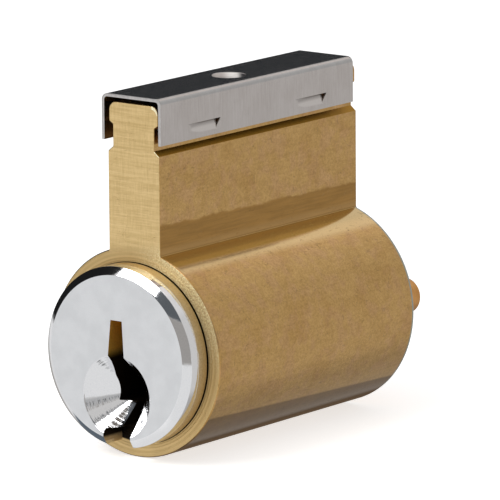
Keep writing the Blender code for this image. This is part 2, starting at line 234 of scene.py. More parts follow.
def outline_normals(outline):
    """Outward unit normals of a closed counter-clockwise outline, at its points."""
    points = np.array(outline)
    ahead = np.roll(points, -1, axis=0) - np.roll(points, 1, axis=0)
    normals = np.stack([ahead[:, 1], -ahead[:, 0]], axis=1)
    return normals / np.linalg.norm(normals, axis=1)[:, None]


def prism(name, outline, y_from, y_to, edge, hole=None, hole_edge=0.0, steps=4):
    """A prism along Y with its end edges rounded by edge (one value, or one for each point)."""
    points = np.array(outline)
    normals = outline_normals(outline)
    widths = np.broadcast_to(np.array(edge, float), (len(points),))
    work = bmesh.new()

    def ring(base, normal, width, inward, y_end, direction, turn):
        """One ring of the rounded edge."""
        inset = width * (1.0 - math.sin(turn))
        depth = width * (1.0 - math.cos(turn))
        places = base - inward * normal * np.reshape(inset, (-1, 1))
        return [
            work.verts.new((x, y_end + direction * d, z))
            for (x, z), d in zip(places, np.broadcast_to(depth, (len(places),)))
        ]

    def wall(base, normal, width, inward):
        """All rings of one wall, front to back, joined by quads."""
        turns = [math.pi / 2.0 * step / steps for step in range(steps + 1)]
        rings = [ring(base, normal, width, inward, y_from, 1.0, turn) for turn in turns]
        rings += [ring(base, normal, width, inward, y_to, -1.0, turn) for turn in reversed(turns)]
        count = len(base)
        for lower, upper in zip(rings, rings[1:]):
            for here in range(count):
                after = (here + 1) % count
                work.faces.new((lower[here], lower[after], upper[after], upper[here]))
        return rings[0], rings[-1]

    loops = [wall(points, normals, widths, 1.0)]
    if hole is not None:
        hole_widths = np.full(len(hole), hole_edge)
        loops.append(wall(np.array(hole), outline_normals(hole), hole_widths, -1.0))
    for side in (0, 1):
        edges = []
        for pair in loops:
            loop = pair[side]
            for here, vert in enumerate(loop):
                edges.append(work.edges.get((vert, loop[(here + 1) % len(loop)])))
        bmesh.ops.triangle_fill(work, use_beauty=True, edges=edges)
    bmesh.ops.remove_doubles(work, verts=work.verts, dist=WELD)
    return from_bmesh(name, work)


def box(name, size, place):
    """A plain box, used only as a cutter."""
    work = bmesh.new()
    bmesh.ops.create_cube(work, size=1.0)
    bmesh.ops.scale(work, vec=size, verts=work.verts)
    item = from_bmesh(name, work)
    item.data.transform(Matrix.Translation(place))
    return item


# ---- shell -----------------------------------------------
FOOT_FILLET = 0.15 * MM
BARREL_EDGE = 0.25 * MM
BIBLE_EDGE = 0.09 * MM
BORE_EDGE = 0.15 * MM
SHELL_DRILL_BOTTOM = 6.6 * MM
SHELL_DRILL_FLARE = 0.1 * MM


def shell_outline():
    """Section of the shell: barrel, small foot fillet, bible, neck and rail head."""
    foot_x = BIBLE_HALF + FOOT_FILLET
    foot_z = math.sqrt((SHELL_RADIUS + FOOT_FILLET) ** 2 - foot_x**2)
    lean = math.degrees(math.atan2(foot_z, foot_x))
    barrel = arc(0.0, 0.0, SHELL_RADIUS, 180.0 - lean, 360.0 + lean, 150)
    fillet = arc(foot_x, foot_z, FOOT_FILLET, 180.0 + lean, 180.0, 6)[1:]
    path = [
        (BIBLE_HALF, foot_z, 0.0),
        (BIBLE_HALF, SHOULDER_Z, 0.07 * MM),
        (NECK_HALF, NECK_BOTTOM, 0.08 * MM),
        (NECK_HALF, NECK_TOP, 0.1 * MM),
        (RAIL_HALF, RAIL_BOTTOM, 0.2 * MM),
        (RAIL_HALF, RAIL_TOP, 0.85 * MM),
        (0.0, RAIL_TOP, 0.0),
    ]
    right = fillet + rounded(path, 6)[1:]
    left = [(-x, z) for x, z in reversed(right[:-1])]
    return barrel + right + left, len(barrel)


def drill_chamber(item, node, bottom, top, flare):
    """Drill one pin chamber, with a small flare where it leaves the metal at the top."""
    profile = [
        (0.0, bottom),
        (CHAMBER_RADIUS, bottom),
        (CHAMBER_RADIUS, top - flare),
        (CHAMBER_RADIUS + 2.0 * flare, top + flare),
        (0.0, top + flare),
    ]
    place = Matrix.Translation((0.0, centre(node, Y), 0.0))
    cut(item, lathe("drill", profile, 48, place))


def make_shell():
    """Barrel and bible in one, bored for the plug and drilled for the six stacks."""
    outline, barrel_points = shell_outline()
    edge = [BARREL_EDGE] * barrel_points + [BIBLE_EDGE] * (len(outline) - barrel_points)
    bore = arc(0.0, 0.0, BORE_RADIUS, 0.0, 360.0, 144)[:-1]
    shell = prism("shell_body", outline, 0.0, SHELL_LENGTH, edge, bore, BORE_EDGE)
    for number in STACKS:
        node = f"driver_pin_{number}"
        drill_chamber(shell, node, SHELL_DRILL_BOTTOM, RAIL_TOP, SHELL_DRILL_FLARE)
    clean_normals(shell)
    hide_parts("cylinder_shell")
    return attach(shell, "shell")


# ---- plug ------------------------------------------------
FACE_RADIUS = HEAD_RADIUS - 0.84 * MM
BEVEL_DEPTH = 0.56 * MM
HEAD_BACK = -0.14 * MM
SINK_RADIUS = 4.4 * MM
SINK_Z = -4.12 * MM
PLUG_DRILL_BOTTOM = -0.8 * MM
PLUG_DRILL_FLARE = 0.04 * MM
SCREW_HOLE_DEPTH = 4.9 * MM


def plug_profile():
    """Radius and distance along the axis, from the face back to the end of the plug."""
    path = [
        (0.0, HEAD_FRONT, 0.0),
        (FACE_RADIUS, HEAD_FRONT, 0.05 * MM),
        (HEAD_RADIUS, HEAD_FRONT + BEVEL_DEPTH, 0.06 * MM),
        (HEAD_RADIUS, HEAD_BACK, 0.12 * MM),
        (PLUG_RADIUS, HEAD_BACK, 0.0),
        (PLUG_RADIUS, PLUG_END, 0.15 * MM),
        (0.0, PLUG_END, 0.0),
    ]
    return rounded(path, 3)


def keyway_outline():
    """Section of the keyway, its corners slightly round, open through the bottom of the head."""
    below = -HEAD_RADIUS / MM - 1.0
    path = [
        (0.06, 3.95, 0.0),
        (-0.68, 3.95, 0.06),
        (-1.07, 0.2, 0.1),
        (-1.12, -0.5, 0.3),
        (-1.62, -2.3, 0.5),
        (-1.66, -5.05, 0.12),
        (0.05, -5.15, 0.12),
        (-0.12, -7.45, 0.12),
        (-1.8, -7.65, 0.08),
        (-1.8, below, 0.0),
        (1.7, below, 0.0),
        (1.75, -7.5, 0.3),
        (1.85, -3.6, 1.5),
        (1.4, -1.2, 0.8),
        (1.02, 0.15, 0.1),
        (0.8, 3.95, 0.06),
        (0.06, 3.95, 0.0),
    ]
    points = rounded([(x * MM, z * MM, radius * MM) for x, z, radius in path], 4)
    return points[:-1]


def drill_screw_holes(item, y, low, high):
    """Drill both screw holes along Y, between two distances from y."""
    for number in SCREWS:
        node = f"driver_screw_{number}"
        place = Matrix.Translation((centre(node, X), y, centre(node, Z))) @ ALONG_Y
        hole = [(0.0, low), (SCREW_CLEAR, low), (SCREW_CLEAR, high), (0.0, high)]
        cut(item, lathe("hole", hole, 32, place))


def make_plug():
    """The turning plug: bevelled wide head, keyway, countersink, chambers and screw holes.

    The keyway is cut after the chambers and the screw holes: that order keeps the mesh closed.
    """
    plug = lathe("plug_body", plug_profile(), 192, ALONG_Y)
    for number in STACKS:
        node = f"key_pin_{number}"
        drill_chamber(plug, node, PLUG_DRILL_BOTTOM, PLUG_RADIUS, PLUG_DRILL_FLARE)
    drill_screw_holes(plug, PLUG_END, -SCREW_HOLE_DEPTH, OVERCUT)
    front, back = HEAD_FRONT - OVERCUT, PLUG_END + OVERCUT
    cut(plug, prism("keyway", keyway_outline(), front, back, 0.0, steps=1))
    cone = [(0.0, front), (SINK_RADIUS + OVERCUT, front), (0.0, HEAD_FRONT + SINK_RADIUS)]
    cut(plug, lathe("sink", cone, 192, Matrix.Translation((0.0, 0.0, SINK_Z)) @ ALONG_Y))
    clean_normals(plug)
    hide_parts("plug")
    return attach(plug, "plug")


# ---- pin cover -------------------------------------------
SHEET = 0.32 * MM
COVER_BEND = 0.7 * MM
LANCE_BOTTOM = 22.68 * MM
LANCE_TOP = 23.62 * MM
LANCE_LENGTH = 5.3 * MM
LANCE_CLEARANCE = 0.12 * MM
LANCE_SLIT = 0.3 * MM
LANCE_SLANT = 0.5 * MM
LANCE_RAMP = 2.2  # a tab leans in fully from 1 / 2.2 of its length on
LANCE_MIDDLES = (7.0 * MM, 25.15 * MM)
DIMPLE_RADIUS = 1.85 * MM
DIMPLE_DEPTH = 0.33 * MM
DIMPLE_POWER = 5.0
DIMPLE_Y = 15.95 * MM
COVER_END = 0.25 * MM
COVER_EDGE = 0.05 * MM
NEAR = 1e-7
NEAR_SHARE = 1e-4
COVER_WELD = 2e-6


def cover_section():
    """Outer line of the folded channel, from left over the top to right.

    Each point is (x, z, side), where side is 0, or -1 or 1 on a lance's tab.
    """
    bend_left = COVER_LEFT + COVER_BEND
    bend_right = COVER_RIGHT - COVER_BEND
    bend_z = COVER_TOP - COVER_BEND
    tab = [(z, True) for z in np.linspace(LANCE_BOTTOM, LANCE_TOP, 6)]
    side = [(COVER_BOTTOM, False)] + tab + [(LANCE_TOP, False), (bend_z, False)]
    line = [(COVER_LEFT, z, -1.0 if is_tab else 0.0) for z, is_tab in side]
    line += [(x, z, 0.0) for x, z in arc(bend_left, bend_z, COVER_BEND, 180.0, 90.0, 8)[1:]]
    line += [(x, COVER_TOP, 0.0) for x in np.linspace(bend_left, bend_right, 65)[1:]]
    line += [(x, z, 0.0) for x, z in arc(bend_right, bend_z, COVER_BEND, 90.0, 0.0, 8)[1:]]
    line += [(COVER_RIGHT, z, 1.0 if is_tab else 0.0) for z, is_tab in reversed(side[:-1])]
    return line


def lance_at(y):
    """Share of a lance's length at a station, or None where there is no lance."""
    for middle in LANCE_MIDDLES:
        along = (y - middle) / LANCE_LENGTH + 0.5
        if -NEAR_SHARE < along < 1.0 + NEAR_SHARE:
            return along
    return None


def lance_shift(side, y, z):
    """How far a tab leans in at a place: it is hinged along its bottom and at its front end."""
    along = lance_at(y)
    if not side or along is None:
        return 0.0
    wall = COVER_RIGHT if side > 0.0 else COVER_LEFT
    reach = abs(wall) - SHEET - NECK_HALF - LANCE_CLEARANCE
    up = (z - LANCE_BOTTOM) / (LANCE_TOP - LANCE_BOTTOM)
    return side * reach * min(1.0, max(0.0, LANCE_RAMP * along)) * up


def lance_slant(side, y, z):
    """How far forward the slanted rear end of a tab, and the slit behind it, lie at a height."""
    for middle in LANCE_MIDDLES:
        end = middle + LANCE_LENGTH / 2.0
        if side and -NEAR < y - end < LANCE_SLIT + NEAR:
            up = (z - LANCE_BOTTOM) / (LANCE_TOP - LANCE_BOTTOM)
            return (LANCE_SLANT + max(0.0, y - end)) * (1.0 - up)
    return 0.0


def dimple_drop(x, y):
    """Depth of the pressed dimple at a place on the cover's top."""
    away = math.hypot(x, y - DIMPLE_Y) / DIMPLE_RADIUS
    return DIMPLE_DEPTH * (1.0 - min(1.0, away) ** DIMPLE_POWER)


def cover_stations():
    """Distances from the front at which the cover's sheet has a row of points."""
    rows = [*np.linspace(0.0, COVER_LENGTH, 9), COVER_END, COVER_LENGTH - COVER_END]
    for middle in LANCE_MIDDLES:
        start = middle - LANCE_LENGTH / 2.0
        end = start + LANCE_LENGTH
        rows += [*np.linspace(start, end - 1.2 * LANCE_SLANT, 13), end, end + LANCE_SLIT]
    around = 1.05 * DIMPLE_RADIUS
    rows += [*np.linspace(DIMPLE_Y - around, DIMPLE_Y + around, 57)]
    return sorted(set(np.round(rows, 7)))


def make_cover():
    """A folded stainless channel with a pressed dimple and a pair of lances on each side."""
    section = cover_section()
    stations = cover_stations()
    work = bmesh.new()
    grid = []
    for y in stations:
        row = []
        for x, z, side in section:
            drop = dimple_drop(x, y) if z > COVER_TOP - NEAR else 0.0
            inward, forward = lance_shift(side, y, z), lance_slant(side, y, z)
            row.append(work.verts.new((x - inward, y - forward, z - drop)))
        grid.append(row)
    for y, following, near, far in zip(stations, stations[1:], grid, grid[1:]):
        slit = lance_at(y) is not None and lance_at(following) is None
        for here, (one, two) in enumerate(zip(section, section[1:])):
            same_place = one[:2] == two[:2]
            if same_place or (slit and one[2] and two[2]):
                continue
            work.faces.new((near[here], near[here + 1], far[here + 1], far[here]))
    bmesh.ops.remove_doubles(work, verts=work.verts, dist=COVER_WELD)
    cover = from_bmesh("cover_sheet", work, closed=False)
    sheet = cover.modifiers.new("sheet", "SOLIDIFY")
    sheet.thickness = SHEET
    sheet.offset = -1.0
    sheet.use_even_offset = True
    baked(cover)
    soften(cover, COVER_EDGE, 50.0)
    clean_normals(cover, 40.0)
    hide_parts("pin_cover")
    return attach(cover, "cover")


# ---- tail driver and its screws --------------------------
BAR_HALF = 1.95 * MM
BAR_EDGE_X = 5.2 * MM
DISC_THICKNESS = 1.6 * MM
DISC_EDGE = 0.15 * MM
BAR_EDGE = 0.3 * MM
SCREW_HEAD = 1.2 * MM
SCREW_SHANK = 1.15 * MM
SCREW_ROOT = 0.95 * MM
SCREW_LEAD = 0.1 * MM
SCREW_PITCH = 0.45 * MM
SLOT_DEPTH = 0.55 * MM
SLOT_WIDTH = 0.5 * MM


def make_tail():
    """The retaining disc with the drive bar across it."""
    disc = [
        (0.0, 0.0, 0.0),
        (DISC_RADIUS, 0.0, DISC_EDGE),
        (DISC_RADIUS, DISC_THICKNESS, DISC_EDGE),
        (0.0, DISC_THICKNESS, 0.0),
    ]
    place = Matrix.Translation((0.0, DISC_FRONT, 0.0)) @ ALONG_Y
    tail = lathe("drive_tail", rounded(disc, 3), 128, place)
    outline = arc(BAR_EDGE_X, 0.0, BAR_HALF, -90.0, 90.0, 24)
    outline += arc(-BAR_EDGE_X, 0.0, BAR_HALF, 90.0, 270.0, 24)
    bar = prism("bar", outline, DISC_FRONT + DISC_THICKNESS / 2.0, BAR_END, BAR_EDGE)
    cut(tail, bar, "UNION")
    drill_screw_holes(tail, DISC_FRONT, -OVERCUT, 3.0 * OVERCUT)
    clean_normals(tail)
    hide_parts("tail_driver")
    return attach(tail, "plug")


def make_screw(number):
    """A slotted cheese-head screw with rolled thread rings on its shank."""
    node = f"driver_screw_{number}"
    tip, top = span(node, Y)
    head = half_width(node, X)
    seat = top - SCREW_HEAD
    ring = ((SCREW_SHANK, 0.35), (SCREW_SHANK, 0.45), (SCREW_ROOT, 0.9))
    path = [(0.0, tip), (SCREW_ROOT, tip), (SCREW_ROOT, tip + SCREW_LEAD)]
    for turn in range(int((seat - tip - 3.0 * SCREW_LEAD) / SCREW_PITCH)):
        start = tip + SCREW_LEAD + turn * SCREW_PITCH
        path += [(radius, start + share * SCREW_PITCH) for radius, share in ring]
    path += [(SCREW_ROOT, seat), (head, seat)]
    edge = ((0.0, 0.2 * MM), (0.06 * MM, 0.06 * MM), (0.2 * MM, 0.0))
    path += [(head - inward, top - down) for inward, down in edge]
    path.append((0.0, top))
    x, z = centre(node, X), centre(node, Z)
    screw = lathe(f"tail_screw_{number}", path, 48, Matrix.Translation((x, 0.0, z)) @ ALONG_Y)
    cut(screw, box("slot", (3.0 * head, 2.0 * SLOT_DEPTH, SLOT_WIDTH), (x, top, z)))
    clean_normals(screw)
    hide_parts(node)
    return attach(screw, "plug")


# ---- pin stacks ------------------------------------------
SPRING_COIL = 1.05 * MM
SPRING_WIRE = 0.15 * MM
SPRING_TURNS = 10
SPRING_STEPS = 20  # points in one turn
SPRING_CLOSING = 0.72  # how much closer the end turns lie
WIRE_SIDES = 8
PIN_CHAMFER = 0.22 * MM
PIN_EDGE = 0.06 * MM
PIN_TIP_RADIUS = 0.35 * MM
PIN_TIP_HEIGHT = 0.9 * MM


def upright(name, node, path):
    """A turned piece standing on a CAD node's axis, its heights given in the frame."""
    place = Matrix.Translation((centre(node, X), centre(node, Y), 0.0))
    return clean_normals(lathe(name, rounded(path, 3), 64, place))


def make_key_pin(number):
    """A bottom pin: chamfered top, blunt cone at the tip."""
    node = f"key_pin_{number}"
    low, high = span(node, Z)
    path = [
        (0.0, low, 0.0),
        (PIN_TIP_RADIUS, low, 2.0 * PIN_EDGE),
        (PIN_RADIUS, low + PIN_TIP_HEIGHT, 0.1 * MM),
        (PIN_RADIUS, high - PIN_CHAMFER, PIN_EDGE),
        (PIN_RADIUS - PIN_CHAMFER, high, PIN_EDGE),
        (0.0, high, 0.0),
    ]
    pin = upright(f"bottom_pin_{number}", node, path)
    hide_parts(node)
    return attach(pin, node)


def make_driver_pin(number):
    """A top pin, chamfered at both ends."""
    node = f"driver_pin_{number}"
    low, high = span(node, Z)
    path = [
        (0.0, low, 0.0),
        (PIN_RADIUS - PIN_CHAMFER, low, PIN_EDGE),
        (PIN_RADIUS, low + PIN_CHAMFER, PIN_EDGE),
        (PIN_RADIUS, high - PIN_CHAMFER, PIN_EDGE),
        (PIN_RADIUS - PIN_CHAMFER, high, PIN_EDGE),
        (0.0, high, 0.0),
    ]
    pin = upright(f"top_pin_{number}", node, path)
    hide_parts(node)
    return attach(pin, node)


def coil_line(middle_y, low, high):
    """Points along the middle of a spring's wire, between two heights."""
    rise = high - low - 2.0 * SPRING_WIRE
    count = SPRING_TURNS * SPRING_STEPS
    line = []
    for step in range(count + 1):
        share = step / count
        closing = SPRING_CLOSING * math.sin(math.tau * share) / math.tau
        height = low + SPRING_WIRE + rise * (share - closing)
        angle = math.tau * step / SPRING_STEPS
        x, y = SPRING_COIL * math.cos(angle), middle_y + SPRING_COIL * math.sin(angle)
        line.append(Vector((x, y, height)))
    return line


def make_spring(number):
    """A compression spring with closed end turns."""
    node = f"spring_{number}"
    low, high = span(node, Z)
    middle_y = centre(f"driver_pin_{number}", Y)
    line = coil_line(middle_y, low, high)
    work = bmesh.new()
    rings = []
    for step, point in enumerate(line):
        ahead = (line[min(step + 1, len(line) - 1)] - line[max(step - 1, 0)]).normalized()
        outward = Vector((point.x, point.y - middle_y, 0.0)).normalized()
        up = ahead.cross(outward)
        ring = []
        for corner in range(WIRE_SIDES):
            turn = math.tau * corner / WIRE_SIDES
            offset = outward * math.cos(turn) + up * math.sin(turn)
            ring.append(work.verts.new(point + SPRING_WIRE * offset))
        rings.append(ring)
    for near, far in zip(rings, rings[1:]):
        for corner in range(WIRE_SIDES):
            after = (corner + 1) % WIRE_SIDES
            work.faces.new((near[corner], near[after], far[after], far[corner]))
    work.faces.new(rings[0])
    work.faces.new(rings[-1])
    spring = from_bmesh(f"coil_spring_{number}", work)
    spring.data.shade_smooth()
    spring.data.set_sharp_from_angle(angle=math.radians(60.0))
    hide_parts(node)
    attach(spring, "shell")
    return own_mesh(spring)


# ---- node trees ------------------------------------------
class Nodes:
    """A node tree being built, for a material or for the world."""

    def __init__(self, owner):
        owner.use_nodes = True
        self.tree = owner.node_tree
        self.tree.nodes.clear()

    def add(self, kind, inputs=None, **settings):
        """A node with its settings and inputs."""
        node = self.tree.nodes.new("ShaderNode" + kind)
        for key, value in settings.items():
            setattr(node, key, value)
        for key, value in (inputs or {}).items():
            self.feed(node.inputs[key], value)
        return node

    def feed(self, socket, value):
        """Link a socket, or set its plain value."""
        if isinstance(value, bpy.types.NodeSocket):
            self.tree.links.new(value, socket)
        else:
            socket.default_value = value

    def parts(self, vector):
        """The three parts of a vector."""
        return tuple(self.add("SeparateXYZ", {0: vector}).outputs)

    def math(self, operation, first, second=0.0):
        """One arithmetic node."""
        return self.add("Math", {0: first, 1: second}, operation=operation).outputs[0]

    def product(self, first, *others):
        """Several numbers multiplied."""
        for other in others:
            first = self.math("MULTIPLY", first, other)
        return first

    def step(self, value, low, high, bottom=0.0, top=1.0):
        """A smooth step of a value between two edges; it falls where low is above high."""
        inputs = {0: value, 1: low, 2: high, 3: bottom, 4: top}
        return self.add("MapRange", inputs, interpolation_type="SMOOTHSTEP").outputs[0]

    def window(self, value, rise, fall):
        """One between a rising and a falling edge, each given as a pair."""
        return self.product(self.step(value, *rise), self.step(value, *fall))

    def mix(self, share, first, second, blend="MIX"):
        """Two colours mixed by a share."""
        node = self.add("Mix", data_type="RGBA", blend_type=blend)
        for key, value in ((0, share), (6, first), (7, second)):
            if not isinstance(value, bpy.types.NodeSocket) and key > 0:
                value = (*value, 1.0)
            self.feed(node.inputs[key], value)
        return node.outputs[2]


class Shader(Nodes):
    """A material whose patterns are laid out in millimetres on the resting part."""

    def __init__(self, name):
        self.material = bpy.data.materials.new(name)
        super().__init__(self.material)
        source = self.add("TexCoord").outputs
        inputs = {0: source["Object"], "Scale": 1.0 / MM}
        self.place = self.add("VectorMath", inputs, operation="SCALE").outputs[0]
        self.x, self.y, self.z = self.parts(self.place)
        self.nx, self.ny, self.nz = self.parts(source["Normal"])
        square = self.math("ADD", self.product(self.x, self.x), self.product(self.z, self.z))
        self.radius = self.math("SQRT", square)

    def size_of(self, value):
        """A number without its sign."""
        return self.math("ABSOLUTE", value)

    def inverse(self, share):
        """One less a share."""
        return self.math("SUBTRACT", 1.0, share)

    def distance(self, point, place=None):
        """Distance from a point, in millimetres."""
        inputs = {0: self.place if place is None else place, 1: point}
        return self.add("VectorMath", inputs, operation="DISTANCE").outputs["Value"]

    def noise(self, scale, detail, roughness=0.55, stretch=(1.0, 1.0, 1.0), shift=0.0, warp=0.0):
        """Noise with a scale per millimetre, stretched along the axes."""
        moved = self.add("VectorMath", {0: self.place, 1: stretch}, operation="MULTIPLY").outputs[0]
        moved = self.add("VectorMath", {0: moved, 1: (shift,) * 3}, operation="ADD").outputs[0]
        inputs = {"Vector": moved, "Scale": scale, "Detail": detail, "Roughness": roughness}
        inputs["Distortion"] = warp
        return self.add("TexNoise", inputs).outputs["Fac"]

    def line_noise(self, value, scale, detail=3.0, roughness=0.5):
        """Noise that changes with one number only, such as turning marks."""
        inputs = {"W": value, "Scale": scale, "Detail": detail, "Roughness": roughness}
        return self.add("TexNoise", inputs, noise_dimensions="1D").outputs["Fac"]

    def blend(self, share, first, second):
        """Two numbers mixed by a share."""
        node = self.add("Mix", data_type="FLOAT")
        for key, value in ((0, share), (2, first), (3, second)):
            self.feed(node.inputs[key], value)
        return node.outputs[0]

    def bump(self, height, distance, normal=None):
        """A bump whose height is given in millimetres."""
        inputs = {"Height": height, "Distance": distance * MM, "Strength": 1.0}
        if normal is not None:
            inputs["Normal"] = normal
        return self.add("Bump", inputs).outputs[0]

    def finish(self, colour, roughness, normal=None, metallic=1.0):
        """Close the material with a Principled shader."""
        inputs = {"Base Color": colour, "Roughness": roughness, "Metallic": metallic}
        if normal is not None:
            inputs["Normal"] = normal
        surface = self.add("BsdfPrincipled", inputs).outputs[0]
        self.feed(self.add("OutputMaterial").inputs["Surface"], surface)
        return self.material


def dress(item, material):
    """Give a piece its one material."""
    item.data.materials.clear()
    item.data.materials.append(material)


def shade(colour, factor):
    """A colour made darker or lighter by a factor."""
    return tuple(factor * part for part in colour)


# ---- brass of the shell ----------------------------------
BRASS_LIGHT = (0.69, 0.44, 0.17)
BRASS_DARK = (0.44, 0.265, 0.09)
STAIN = (0.92, 0.89, 0.84)
BLUSH = (1.0, 0.98, 1.14)
BRASS_MILLED = (0.315, 0.17, 0.047)
BRASS_MILLED_LIGHT = (0.5, 0.31, 0.125)
BARREL_TOP_SHEEN = (0.80, 0.60, 0.30)
FOOT_REFLECTION = (0.55, 0.365, 0.075)
SHOULDER_SHADE = (0.4, 0.21, 0.022)
BRASS_END = (0.74, 0.545, 0.27)
BRASS_END_DARK = (0.58, 0.415, 0.185)
LIP_HIGHLIGHT = (1.0, 0.9, 0.58)
GLINT = (1.0, 0.95, 0.68)
BELLY_SHADE = (0.44, 0.40, 0.34)
CREASE_SHADE = (0.17, 0.085, 0.012)
RIM_REFLECTION = (0.36, 0.38, 0.34)
GAP_SHADOW = (0.012, 0.008, 0.005)
RAIL_CORNER = (2.33, 0.0, 24.95)


def brass_pits(s):
    """Pits and short scratches, as a share."""
    shape = s.noise(2.4, 4.0, 0.75, (1.0, 0.9, 1.0), 31.0)
    field = s.step(s.noise(0.3, 2.0, 0.5, shift=41.0), 0.35, 0.6)
    pits = s.product(s.step(shape, 0.62, 0.7), field)
    for number, stretch in enumerate(((1.0, 0.35, 0.25), (0.3, 1.0, 0.8))):
        contour = s.noise(1.6, 0.0, 0.5, stretch, 91.0 + 7.0 * number, 0.2)
        line = s.step(s.size_of(s.math("SUBTRACT", contour, 0.5)), 0.018, 0.006)
        piece = s.step(s.noise(0.9, 2.0, 0.5, shift=97.0 + 5.0 * number), 0.61, 0.64)
        pits = s.math("MAXIMUM", pits, s.product(line, piece, 0.8))
    return pits


def drawn_brass(s, grain, streak, pits):
    """Colour of the drawn surface: cloudy, grained, stained and pitted."""
    blotch = s.noise(0.22, 4.0, 0.6, shift=3.0)
    warm = s.noise(0.55, 4.0, 0.6, shift=61.0)
    cloud = s.noise(1.3, 5.0, 0.7, (1.0, 0.7, 1.0), 11.0)
    tone = s.blend(0.66, s.step(cloud, 0.3, 0.7), s.step(grain, 0.36, 0.64))
    tone = s.blend(0.15, tone, s.step(streak, 0.3, 0.7))
    colour = s.mix(tone, BRASS_DARK, BRASS_LIGHT)
    colour = s.mix(s.step(blotch, 0.45, 0.65), colour, STAIN, "MULTIPLY")
    colour = s.mix(s.step(warm, 0.45, 0.62), colour, BLUSH, "MULTIPLY")
    return s.mix(s.product(pits, 0.4), colour, shade(BRASS_DARK, 0.4))


def end_marks(s, upper):
    """Height of the marks on the ends: turned around the bore, sawn across the bible."""
    rings = s.line_noise(s.radius, 4.2, 3.0, 0.6)
    fine_rings = s.line_noise(s.math("ADD", s.radius, 7.0), 14.0, 2.0, 0.6)
    lines = s.noise(4.6, 3.0, 0.65, (0.05, 1.0, 1.0), 71.0)
    cross = s.noise(6.5, 2.0, 0.6, (1.0, 1.0, 0.12), 81.0)
    return s.blend(upper, s.blend(0.4, rings, fine_rings), s.blend(0.35, lines, cross))


def end_glints(s, grain):
    """Share of the two painted glints on the edges at the right of the rail head and of the neck.
    """
    corner = s.step(s.distance(RAIL_CORNER), 0.72, 0.78)
    corner = s.product(corner, s.product(s.step(s.x, 2.3, 2.5), s.step(s.z, 25.0, 25.2)))
    slope = s.math("ADD", s.product(s.x, 0.83), s.math("SUBTRACT", s.z, 23.64))
    neck_glint = s.product(s.step(slope, -0.2, -0.1), s.step(s.z, 20.7, 20.8))
    neck_glint = s.product(neck_glint, s.product(s.step(s.x, 2.66, 2.72), s.step(s.z, 21.5, 21.4)))
    return s.product(s.math("MAXIMUM", corner, neck_glint), s.step(grain, 0.35, 0.5))


def end_brass(s, grain, pits, marks, wide):
    """Colour of the ends, with a painted highlight on the lip of the bore and painted shadow in the
    gap around the plug.
    """
    colour = s.mix(s.step(marks, 0.32, 0.68), BRASS_END_DARK, BRASS_END)
    colour = s.mix(s.step(grain, 0.25, 0.5, 0.4, 0.0), colour, BRASS_END_DARK)
    colour = s.mix(s.product(pits, 0.2), colour, BRASS_DARK)
    sparkle = s.step(s.noise(5.0, 3.0, 0.8, shift=121.0), 0.44, 0.62, 0.15, 1.0)
    # a painted highlight on the right of the bore's lip, broken up by sparkle
    lip = s.product(s.step(s.x, -1.0, 5.0), s.step(s.z, -2.0, 5.0))
    lip = s.product(lip, sparkle, s.step(s.z, 12.0, 10.0))
    colour = s.mix(lip, colour, LIP_HIGHLIGHT)
    # painted shadow on the front end in the gap around the plug's head and where the end shows
    # through the keyway
    low_gap_shadow = s.product(s.step(s.z, -8.3, -8.9), s.step(wide, 3.2, 2.8))
    gap = s.blend(low_gap_shadow, s.step(s.radius, 9.6, 9.52), s.step(s.radius, 9.44, 9.3))
    gap = s.product(gap, s.step(s.y, 1.2, 1.0))
    colour = s.mix(gap, colour, GAP_SHADOW)
    return s.mix(end_glints(s, grain), colour, GLINT)


